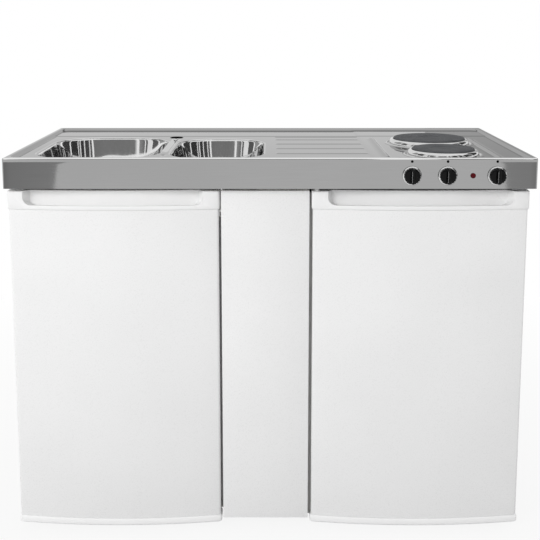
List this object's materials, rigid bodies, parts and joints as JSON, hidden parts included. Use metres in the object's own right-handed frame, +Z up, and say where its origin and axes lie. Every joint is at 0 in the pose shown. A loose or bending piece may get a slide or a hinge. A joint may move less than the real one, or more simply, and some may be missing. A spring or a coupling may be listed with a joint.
{
  "type": "kitchenette unit with sink and hob",
  "caption": "Freestanding kitchenette: steel worktop with bowls, drainer and hotplates over a sink cupboard, a filler panel and a small refrigerator with curved doors.",
  "frame": {"origin": "on the floor under the middle of the whole unit, knobs included", "axes": "+X along the worktop to the user's right, +Y towards the wall behind, +Z up"},
  "size_m": [1.2, 0.625, 0.91],
  "materials": {
    "brushed_steel": "satin stainless steel with a fine grain",
    "polished_steel": "polished stainless steel",
    "chrome": "bright chrome",
    "cast_iron": "matt dark grey cast iron with fine turned rings",
    "galvanised": "zinc-plated sheet steel",
    "aluminium": "plain aluminium",
    "white_steel": "white painted sheet steel",
    "insulated_cabinet": "white painted skin over foam insulation",
    "white_plastic": "white moulded plastic",
    "white_board": "white faced board",
    "black_plastic": "glossy black plastic",
    "gasket": "soft pale grey seal",
    "black_paint": "semi-matt black paint",
    "red_lens": "dark red translucent lens, unlit",
    "shelf_glass": "clear safety glass"
  },
  "bodies": {
    "unit": {"worktop": "brushed_steel", "sink_bowl_large": "polished_steel", "sink_bowl_small": "polished_steel", "waste_large": "chrome", "waste_small": "chrome", "bottle_trap": "white_plastic", "hotplate_rear": "cast_iron", "hotplate_front": "cast_iron", "spill_ring_rear": "chrome", "spill_ring_front": "chrome", "hob_cradle": "galvanised", "terminal_box": "black_plastic", "switch_front_plate": "galvanised", "switch_rear_plate": "galvanised", "run_timer": "galvanised", "pilot_lamp": "red_lens", "cupboard_side": "white_board", "cupboard_divider": "white_board", "cupboard_floor": "white_board", "cupboard_front_rail": "white_board", "cupboard_back_rail": "white_board", "filler_panel": "white_board", "cupboard_foot_1": "black_plastic", "cupboard_foot_2": "black_plastic", "cupboard_foot_3": "black_plastic", "cupboard_foot_4": "black_plastic", "cupboard_hinge_top": "galvanised", "cupboard_hinge_bottom": "galvanised", "fridge_cabinet": "insulated_cabinet", "fridge_liner": "white_plastic", "glass_shelf_upper": "shelf_glass", "glass_shelf_lower": "shelf_glass", "ice_box": "aluminium", "thermostat_box": "white_plastic", "compressor": "black_paint", "condenser": "black_paint", "fridge_hinge_top": "galvanised", "fridge_hinge_bottom": "galvanised", "fridge_foot_left": "black_plastic", "fridge_foot_right": "black_plastic"},
    "cupboard_door": {"cupboard_door_skin": "white_steel", "cupboard_door_top_cap": "white_plastic", "cupboard_door_bottom_cap": "white_plastic", "cupboard_door_board": "white_board"},
    "fridge_door": {"fridge_door_skin": "white_steel", "fridge_door_top_cap": "white_plastic", "fridge_door_bottom_cap": "white_plastic", "fridge_door_liner": "white_plastic", "fridge_door_gasket": "gasket", "door_rack_upper": "white_plastic", "door_rack_lower": "white_plastic"},
    "front_plate_control": {"knob_front_plate": "black_plastic"},
    "rear_plate_control": {"knob_rear_plate": "black_plastic"},
    "timer_control": {"knob_timer": "black_plastic"},
    "thermostat_control": {"thermostat_knob": "white_plastic"},
    "ice_flap": {"ice_box_flap": "white_plastic"},
    "large_plug": {"plug_large": "black_plastic"},
    "small_plug": {"plug_small": "black_plastic"}
  },
  "joints": [
    {"name": "cupboard_door_hinge", "type": "hinge", "parent": "unit", "child": "cupboard_door", "pos_m": [-0.5815, -0.2495, 0.42], "axis": [0, 0, -1], "range_deg": [0, 110]},
    {"name": "fridge_door_hinge", "type": "hinge", "parent": "unit", "child": "fridge_door", "pos_m": [0.5742, -0.2495, 0.42], "axis": [0, 0, 1], "range_deg": [0, 110]},
    {"name": "front_plate_knob_turn", "type": "hinge", "parent": "unit", "child": "front_plate_control", "pos_m": [0.318, -0.3, 0.86], "axis": [0, 1, 0], "range_deg": [0, 270]},
    {"name": "rear_plate_knob_turn", "type": "hinge", "parent": "unit", "child": "rear_plate_control", "pos_m": [0.398, -0.3, 0.86], "axis": [0, 1, 0], "range_deg": [0, 270]},
    {"name": "timer_knob_turn", "type": "hinge", "parent": "unit", "child": "timer_control", "pos_m": [0.509, -0.3, 0.86], "axis": [0, 1, 0], "range_deg": [0, 270]},
    {"name": "thermostat_knob_turn", "type": "hinge", "parent": "unit", "child": "thermostat_control", "pos_m": [0.5249, -0.09, 0.6217], "axis": [0, 1, 0], "range_deg": [0, 270]},
    {"name": "ice_flap_hinge", "type": "hinge", "parent": "unit", "child": "ice_flap", "pos_m": [0.3422, -0.101, 0.7737], "axis": [-1, 0, 0], "range_deg": [0, 90]},
    {"name": "large_plug_lift", "type": "slide", "parent": "unit", "child": "large_plug", "axis": [0, 0, 1], "range_m": [0, 0.06]},
    {"name": "small_plug_lift", "type": "slide", "parent": "unit", "child": "small_plug", "axis": [0, 0, 1], "range_m": [0, 0.06]}
  ]
}
